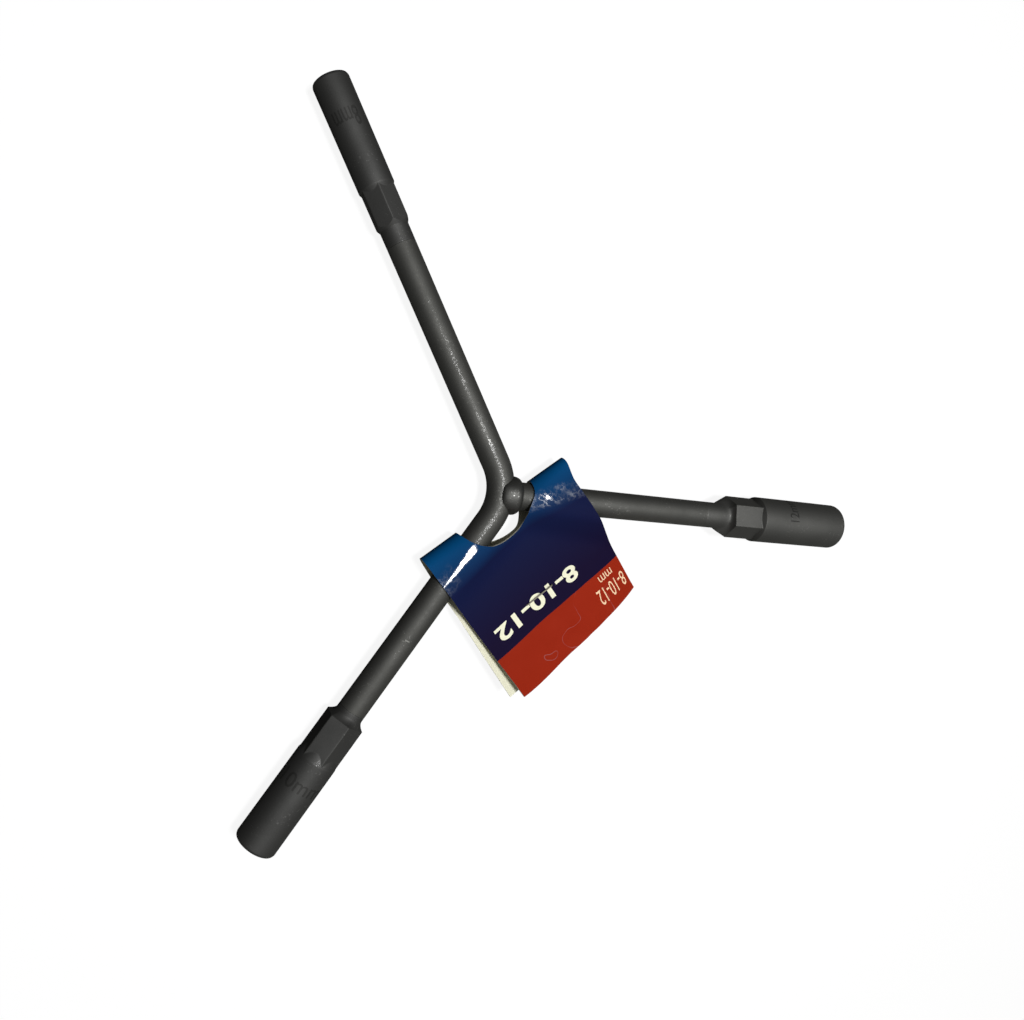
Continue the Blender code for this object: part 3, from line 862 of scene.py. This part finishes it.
def stamp_on_barrel(name, socket, text, height, length, place, turn):
    """Numerals round a barrel, their feet towards the mouth. They stand out by a few hundredths of a mm."""
    bm = numerals(text, height, STAMP_DEPTH, STAMP_CELL, length)
    radius = socket["barrel"] / 2 - STAMP_SINK
    for vertex in bm.verts:
        x, y, z = vertex.co
        angle = math.radians(turn) + x / radius
        vertex.co = (place - y, (radius + z) * math.sin(angle), (radius + z) * math.cos(angle))
    return make_object(name, bm, arm_matrix(socket))


class Nodes:
    """Small helper that builds the nodes of one material."""

    def __init__(self, name):
        self.material = bpy.data.materials.new(name)
        self.material.use_nodes = True
        self.tree = self.material.node_tree
        self.shader = self.tree.nodes["Principled BSDF"]
        self.coordinates = self.tree.nodes.new("ShaderNodeTexCoord")

    def link(self, source, target):
        self.tree.links.new(source, target)

    def put(self, value, socket):
        """Links a node's output into a socket, or sets the socket to a constant."""
        if isinstance(value, bpy.types.NodeSocket):
            self.link(value, socket)
        else:
            socket.default_value = value

    def set(self, **values):
        """Gives the shader's inputs their constants or the outputs that feed them."""
        for key, value in values.items():
            self.put(value, self.shader.inputs[key.replace("_", " ")])

    def math(self, operation, first, second=0.0, third=0.0):
        node = self.tree.nodes.new("ShaderNodeMath")
        node.operation = operation
        for value, socket in zip((first, second, third), node.inputs):
            self.put(value, socket)
        return node.outputs[0]

    def apart(self, first, second):
        """Distance between two values."""
        return self.math("ABSOLUTE", self.math("SUBTRACT", first, second))

    def noise(self, scale, detail=4.0, roughness=0.5):
        """Noise of about 0 to 1, its scale in bumps per metre."""
        node = self.tree.nodes.new("ShaderNodeTexNoise")
        node.inputs["Scale"].default_value = scale
        node.inputs["Detail"].default_value = detail
        node.inputs["Roughness"].default_value = roughness
        self.link(self.coordinates.outputs["Object"], node.inputs["Vector"])
        return node.outputs["Fac"]

    def ramp(self, value, start, end, low=0.0, high=1.0):
        """Goes from low to high while the value goes from start to end, and stays there outside."""
        node = self.tree.nodes.new("ShaderNodeMapRange")
        for key, amount in (("From Min", start), ("From Max", end), ("To Min", low), ("To Max", high)):
            node.inputs[key].default_value = amount
        self.link(value, node.inputs["Value"])
        return node.outputs["Result"]

    def mix(self, factor, first, second):
        """Mix of two colours."""
        node = self.tree.nodes.new("ShaderNodeMix")
        node.data_type = "RGBA"
        self.put(factor, node.inputs["Factor"])
        colors = [socket for socket in node.inputs if socket.type == "RGBA"]
        for value, socket in zip((first, second), colors):
            self.put(value if isinstance(value, bpy.types.NodeSocket) else (*value, 1), socket)
        return next(socket for socket in node.outputs if socket.type == "RGBA")

    def blend(self, factor, first, second):
        """Mix of two directions."""
        node = self.tree.nodes.new("ShaderNodeMix")
        node.data_type = "VECTOR"
        self.put(factor, node.inputs["Factor"])
        vectors = [socket for socket in node.inputs if socket.type == "VECTOR" and socket.name in "AB"]
        for value, socket in zip((first, second), vectors):
            self.put(value, socket)
        return next(socket for socket in node.outputs if socket.type == "VECTOR")

    def bump(self, height, distance, strength=1.0, normal=None):
        """Normal of a surface raised by up to a distance in metres."""
        node = self.tree.nodes.new("ShaderNodeBump")
        node.inputs["Distance"].default_value = distance
        node.inputs["Strength"].default_value = strength
        self.link(height, node.inputs["Height"])
        if normal:
            self.link(normal, node.inputs["Normal"])
        return node.outputs["Normal"]


def painted_glint_share(nodes, patch_level):
    """1 on small specks that lie in patches, where glints are painted, and 0 elsewhere."""
    spots = nodes.ramp(nodes.noise(1100, 2, 0.5), 0.61, 0.68)
    patches = nodes.ramp(nodes.noise(75, 2), patch_level, patch_level + 0.12)
    return nodes.math("MULTIPLY", spots, patches)


def open_share(nodes, reach):
    """Near 0 deep in a crease, and 1 where nothing stands within reach."""
    around = nodes.tree.nodes.new("ShaderNodeAmbientOcclusion")
    around.samples = 8
    around.inputs["Distance"].default_value = reach
    return nodes.ramp(around.outputs["AO"], 0.50, 0.88, 0.05, 1)


def dented_normal(nodes, grain, dents):
    """Normal with wide and small dents under the fine grain."""
    wide = nodes.bump(nodes.noise(160, 2, 0.4), 0.00020, 0.4 * dents)
    small = nodes.bump(nodes.noise(800, 2, 0.5), 0.00003, 0.6 * dents, wide)
    return nodes.bump(grain, 0.00001, 0.6, small)


def add_glints(nodes, sparkle):
    """Patchy coat of small facets. Those that face between the key and the camera shine."""
    weight = nodes.ramp(nodes.noise(45, 3, 0.6), 0.40, 0.54, sparkle * 0.12, sparkle)
    facets = nodes.bump(nodes.noise(800, 2, 0.6), 0.00018, 1.0)
    nodes.set(Coat_Weight=weight, Coat_Roughness=0.17, Coat_Normal=facets)


def steel_material(
    name, tone, roughness=0.68, dents=0.6, glint_speck_gain=1.6, glint_speck_patch=0.50, sparkle=0.23, crease=0.0009
):
    """Dark satin plating with fine grain and soft patches, paler specks painted as glints, painted shade
    that darkens its creases as far as the crease reach, and small glints from a coat of facets.
    """
    nodes = Nodes(name)
    patches = nodes.noise(70, 3)
    grain = nodes.noise(2600, 3, 0.6)
    painted_glint_specks = painted_glint_share(nodes, glint_speck_patch)
    shade = nodes.math("ADD", nodes.ramp(patches, 0.3, 0.7, 0, 0.6), nodes.ramp(grain, 0.3, 0.7, 0, 0.4))
    # Painted highlight: the specks are painted lighter than the plating, by the glint speck gain, as
    # glints.
    dark, light, pale = (tuple(channel * gain for channel in tone) for gain in (0.86, 1.14, glint_speck_gain))
    plated = nodes.mix(painted_glint_specks, nodes.mix(shade, dark, light), pale)
    rough = nodes.ramp(patches, 0.3, 0.7, roughness + 0.03, roughness - 0.03)
    smoother = nodes.math("MULTIPLY", painted_glint_specks, 0.1 - 0.15 * glint_speck_gain)
    nodes.set(
        # Painted shade: the colour darkens towards PAINTED_SHADE_TONE where ambient occlusion finds other
        # surfaces within the crease reach.
        Base_Color=nodes.mix(open_share(nodes, crease), PAINTED_SHADE_TONE, plated),
        Metallic=1.0,
        Specular_Tint=METAL_TINT,
        Roughness=nodes.math("ADD", rough, smoother),
        Normal=dented_normal(nodes, grain, dents),
    )
    add_glints(nodes, sparkle)
    return nodes.material


def card_place(nodes):
    """(across, run) in metres on the card, the run from the fold along each leaf."""
    uv = nodes.tree.nodes.new("ShaderNodeUVMap")
    uv.uv_map = "card"
    split = nodes.tree.nodes.new("ShaderNodeSeparateXYZ")
    nodes.link(uv.outputs[0], split.inputs[0])
    across = nodes.math("MULTIPLY", nodes.math("SUBTRACT", split.outputs["X"], 0.5), CARD_WIDTH)
    from_end = nodes.math("MULTIPLY", split.outputs["Y"], CARD_LENGTH)
    return across, nodes.math("SUBTRACT", from_end, LOWER_LENGTH)


def mirror_normal(across, run):
    """World direction that a place on the card must face to show the key light to the camera."""
    spot = (ARMS @ FOLD) @ CARD.printed(across, run, CARD_THICKNESS / 2)
    to_key = (ARMS @ KEY_PLACE - spot).normalized()
    to_camera = (ARMS @ CAMERA_PLACE - spot).normalized()
    return (to_key + to_camera).normalized()


def print_color(nodes, run):
    """Blue at the fold that darkens to navy, then the red band."""
    blue = nodes.mix(nodes.ramp(run, 0.004, 0.018), FOLD_BLUE, DEEP_BLUE)
    navy = nodes.mix(nodes.ramp(run, 0.020, 0.044), blue, NAVY)
    red = nodes.mix(nodes.noise(90, 3), *BAND_REDS)
    return nodes.mix(nodes.math("GREATER_THAN", run, BAND_RUN), navy, red)


def bright_crease(nodes, across, ragged_run):
    """(share, distance from its middle line) of the crease left of the hole, which narrows to the left."""
    along = nodes.math("DIVIDE", nodes.math("SUBTRACT", CREASE_START[0], across), CREASE_SPAN[0])
    middle = nodes.math("MULTIPLY_ADD", along, CREASE_SPAN[1], CREASE_START[1])
    off_middle = nodes.apart(ragged_run, middle)
    half = nodes.math("MULTIPLY_ADD", along, -CREASE_HALF * 0.7, CREASE_HALF * 1.15)
    inside = nodes.ramp(nodes.math("SUBTRACT", off_middle, half), 0.0004, -0.0008)
    started = nodes.ramp(across, CREASE_START[0] + 0.001, CREASE_START[0] - 0.001)
    return nodes.math("POWER", nodes.math("MULTIPLY", inside, started), 4), off_middle


def worn_share(nodes, across, dx, dy, off_crease):
    """Share of the coating that is cracked: a patch to the right of the hole and one at the left edge."""
    off_ridge = nodes.apart(dy, nodes.math("MULTIPLY", dx, CRACKLE_SLOPE))
    right = nodes.math("MULTIPLY", nodes.ramp(off_ridge, 0.0042, 0.0015), nodes.ramp(across, 0.008, 0.011))
    left_end = nodes.ramp(across, -0.0245, -0.0275)
    left = nodes.math("MULTIPLY", nodes.ramp(off_crease, 0.0045, 0.0015), left_end)
    patchy = nodes.ramp(nodes.noise(150, 3), 0.42, 0.58, 0.15, 1)
    return nodes.math("MULTIPLY", nodes.math("MAXIMUM", right, left), patchy)


def scratched_share(nodes, run):
    """Share of fine scratches, on the red band alone."""
    off_line = nodes.apart(nodes.noise(48, 2), 0.52)
    on_band = nodes.math("GREATER_THAN", run, BAND_RUN)
    scratched = nodes.math("MULTIPLY", nodes.ramp(off_line, 0.0035, 0.001), on_band)
    return nodes.math("MULTIPLY", scratched, nodes.ramp(nodes.noise(70, 2), 0.5, 0.6, 0, 0.16))


def glare_normal(nodes, across):
    """Direction in which the bright places of the left and right half of the card face."""
    middle_run = CREASE_START[1] + CREASE_SPAN[1] / 2
    left = mirror_normal(CREASE_START[0] - CREASE_SPAN[0] / 2, middle_run)
    right = mirror_normal(*CRACKLE_PLACE)
    return nodes.blend(nodes.math("GREATER_THAN", across, 0), tuple(left), tuple(right))


def print_material():
    """Coated card: its printed colours, worn where it is cracked, and places that catch the key light,
    where its colour is whitened as painted highlight.
    """
    nodes = Nodes("printed_side")
    across, signed_run = card_place(nodes)
    run = nodes.math("ABSOLUTE", signed_run)
    ragged = nodes.math("MULTIPLY", nodes.math("SUBTRACT", nodes.noise(500, 4), 0.5), 0.0012)
    crease, off_crease = bright_crease(nodes, across, nodes.math("ADD", signed_run, ragged))

    dx = nodes.math("SUBTRACT", across, CRACKLE_PLACE[0])
    dy = nodes.math("SUBTRACT", signed_run, CRACKLE_PLACE[1])
    squares = nodes.math("ADD", nodes.math("MULTIPLY", dx, dx), nodes.math("MULTIPLY", dy, dy))
    reach = nodes.math("SQRT", squares)
    worn = worn_share(nodes, across, dx, dy, off_crease)
    off_crack = nodes.apart(nodes.noise(380, 4, 0.65), 0.5)
    cracks = nodes.math("MULTIPLY", nodes.ramp(off_crack, 0.030, 0.003), worn)
    ragged_reach = nodes.math("ADD", reach, nodes.math("MULTIPLY", ragged, 4))
    heart = nodes.math("POWER", nodes.ramp(ragged_reach, 0.0018, 0), 2)

    bright = nodes.math("MAXIMUM", crease, heart)
    crack_shine = nodes.math("MULTIPLY", cracks, nodes.ramp(reach, 0.0045, 0.001, 0.02, 0.25))
    glint = nodes.math("MAXIMUM", bright, crack_shine)
    turned = nodes.math("MAXIMUM", bright, nodes.ramp(cracks, 0.0, 0.1))

    rubbed = nodes.math("MULTIPLY", worn, nodes.ramp(off_crack, 0.07, 0.01, 0.05, 0.36))
    faded = nodes.math("MAXIMUM", rubbed, scratched_share(nodes, run))
    color = nodes.mix(faded, print_color(nodes, run), WORN_TONE)
    wide = nodes.bump(nodes.noise(55, 2), 0.0004, 0.4)
    crinkled = nodes.bump(nodes.noise(260, 6, 0.65), 0.00008, 0.4, wide)
    nodes.set(
        # Painted highlight: the colour is whitened towards PAINTED_GLARE_TONE on the crease, the cracked
        # patch's heart and its cracks.
        Base_Color=nodes.mix(nodes.math("MULTIPLY", glint, 0.35), color, PAINTED_GLARE_TONE),
        Roughness=0.6,
        Specular_IOR_Level=0.02,
        Normal=crinkled,
        Coat_Weight=glint,
        Coat_Roughness=0.16,
        Coat_Normal=nodes.blend(turned, crinkled, glare_normal(nodes, across)),
    )
    return nodes.material


def paper_material(name, tones):
    nodes = Nodes(name)
    fibres = nodes.noise(900, 5, 0.65)
    nodes.set(
        Base_Color=nodes.mix(nodes.ramp(fibres, 0.3, 0.75), *tones),
        Roughness=0.8,
        Specular_IOR_Level=0.2,
        Normal=nodes.bump(fibres, 0.00004, 0.5),
    )
    return nodes.material


def ink_material(name, tones):
    nodes = Nodes(name)
    cover = nodes.ramp(nodes.noise(700, 4, 0.6), 0.3, 0.5, 0.75, 1)
    nodes.set(Base_Color=nodes.mix(cover, *tones), Roughness=0.5, Specular_IOR_Level=0.25)
    return nodes.material


def wire_material():
    nodes = Nodes("drawn_wire")
    grain = nodes.noise(1500, 3)
    nodes.set(
        Base_Color=nodes.mix(grain, *WIRE_TONES),
        Metallic=1.0,
        Roughness=nodes.ramp(grain, 0.3, 0.7, 0.50, 0.62),
    )
    return nodes.material


def make_floor():
    """Floor that looks white to the camera, keeps the shadow and lights nothing."""
    bpy.ops.mesh.primitive_plane_add(size=FLOOR_SIZE)
    floor = bpy.context.object
    floor.name = "floor"
    nodes = Nodes("pale_floor")
    nodes.set(Base_Color=FLOOR_TONE, Roughness=1.0, Specular_IOR_Level=0.0)
    nodes.set(Emission_Color=(1, 1, 1, 1), Emission_Strength=FLOOR_GLOW)
    floor.data.materials.append(nodes.material)
    floor.visible_glossy = False
    floor.visible_diffuse = False


def make_world():
    """White to the camera. What the pieces reflect is dim, and brighter towards -Y and +X."""
    world = bpy.data.worlds.new("studio")
    bpy.context.scene.world = world
    world.use_nodes = True
    tree = world.node_tree
    tree.nodes.clear()
    output = tree.nodes.new("ShaderNodeOutputWorld")
    mix = tree.nodes.new("ShaderNodeMixShader")
    path = tree.nodes.new("ShaderNodeLightPath")
    seen = tree.nodes.new("ShaderNodeBackground")
    seen.inputs["Color"].default_value = (1, 1, 1, 1)
    fill = tree.nodes.new("ShaderNodeBackground")
    fill.inputs["Color"].default_value = FILL_TONE
    coordinates = tree.nodes.new("ShaderNodeTexCoord")
    lean = tree.nodes.new("ShaderNodeVectorMath")
    lean.operation = "DOT_PRODUCT"
    lean.inputs[1].default_value = FILL_LEAN
    level = tree.nodes.new("ShaderNodeMath")
    level.inputs[1].default_value = FILL_LEVEL
    tree.links.new(coordinates.outputs["Generated"], lean.inputs[0])
    tree.links.new(lean.outputs["Value"], level.inputs[0])
    tree.links.new(level.outputs[0], fill.inputs["Strength"])
    tree.links.new(path.outputs["Is Camera Ray"], mix.inputs["Fac"])
    tree.links.new(fill.outputs[0], mix.inputs[1])
    tree.links.new(seen.outputs[0], mix.inputs[2])
    tree.links.new(mix.outputs[0], output.inputs["Surface"])


def make_key_light():
    """Small square lamp that faces the middle of the tool."""
    light = bpy.data.lights.new("key", "AREA")
    light.size = KEY_SIZE
    light.energy = KEY_POWER
    made = bpy.data.objects.new("key", light)
    place = ARMS @ KEY_PLACE
    made.location = place
    made.rotation_euler = (place - ARMS.translation).to_track_quat("Z", "Y").to_euler()
    bpy.context.scene.collection.objects.link(made)


def make_camera():
    data = bpy.data.cameras.new("camera")
    data.lens = CAMERA_LENS
    data.sensor_width = CAMERA_SENSOR
    data.clip_start = CAMERA_CLIP
    forward = (CAMERA_TARGET - CAMERA_PLACE).normalized()
    level = (Vector((0, 1, 0)) - forward * forward.y).normalized()
    roll = math.radians(CAMERA_ROLL)
    upward = level * math.cos(roll) + forward.cross(level) * math.sin(roll)
    turned = Matrix((forward.cross(upward), upward, -forward)).transposed().to_4x4()
    turned.translation = CAMERA_PLACE
    camera = bpy.data.objects.new("camera", data)
    camera.matrix_world = ARMS @ turned
    bpy.context.scene.collection.objects.link(camera)
    bpy.context.scene.camera = camera


def dress_wrench():
    """Bars, bead and sockets, and the sizes stamped on the barrels."""
    # Crease is how far painted shade reaches into each piece's creases, and the glint speck gain is how
    # much lighter its painted glints are.
    bar = steel_material("bar_plating", BAR_TONE, dents=1.0, glint_speck_gain=1.8)
    forged = steel_material("socket_plating", SOCKET_TONE, sparkle=0.09, crease=0.0015)
    paler = steel_material(
        "large_socket_plating", LARGE_SOCKET_TONE, glint_speck_gain=1.3, sparkle=0.04, crease=0.0030
    )
    weld = steel_material(
        "weld_plating", WELD_TONE, roughness=0.58, dents=1.8, glint_speck_gain=1.9, glint_speck_patch=0.3
    )

    dress(make_bent_rod(), bar, "wrench", "satin_chrome", "bent_rod")
    dress(make_straight_rod(), bar, "wrench", "satin_chrome", "straight_rod")
    dress(make_bead(), weld, "wrench", "plated_weld", "weld_collar")
    dress(make_socket("socket_8", SOCKET_8MM), forged, "wrench", "satin_chrome", "socket_8mm")
    dress(make_socket("socket_10", SOCKET_10MM), forged, "wrench", "satin_chrome", "socket_10mm")
    dress(make_socket("socket_12", SOCKET_12MM), paler, "wrench", "satin_chrome", "socket_12mm")

    # Painted shade: the numerals' darker tone stands in for the shade of engraved numerals.
    stamped = steel_material("stamped_sizes", PAINTED_STAMP_SHADE, glint_speck_gain=1.0, sparkle=0.0)
    for name, socket, marking, sizes in (
        ("size_8", SOCKET_8MM, "8mm", STAMP_8MM),
        ("size_10", SOCKET_10MM, "10mm", STAMP_10MM),
        ("size_12", SOCKET_12MM, "12mm", STAMP_12MM),
    ):
        dress(stamp_on_barrel(name, socket, marking, *sizes), stamped, "wrench", "satin_chrome")


def dress_tag():
    """Folded card, the staple, and the numbers printed on the card."""
    inside = paper_material("card_inside", INSIDE_TONES)
    edge = paper_material("card_edge", EDGE_TONES)
    card = make_card([print_material(), inside, edge])
    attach(card, "tag")
    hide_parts("card_tag")
    dress(make_staple(), wire_material(), "tag", "staple_wire", "staple")

    ink = ink_material("cream_ink", CREAM_INK)
    warm_ink = ink_material("warm_ink", WARM_INK)
    dress(print_on_card("sizes_small", "8-10-12", *SMALL_SIZES), warm_ink, "tag", "printed_card")
    dress(print_on_card("sizes_unit", "mm", *UNIT), warm_ink, "tag", "printed_card")
    dress(print_on_card("sizes_large", "8-10-12", *LARGE_SIZES), ink, "tag", "printed_card")


def main():
    bpy.context.scene.view_settings.view_transform = "Standard"
    make_camera()
    dress_wrench()
    dress_tag()
    make_floor()
    make_world()
    make_key_light()


main()
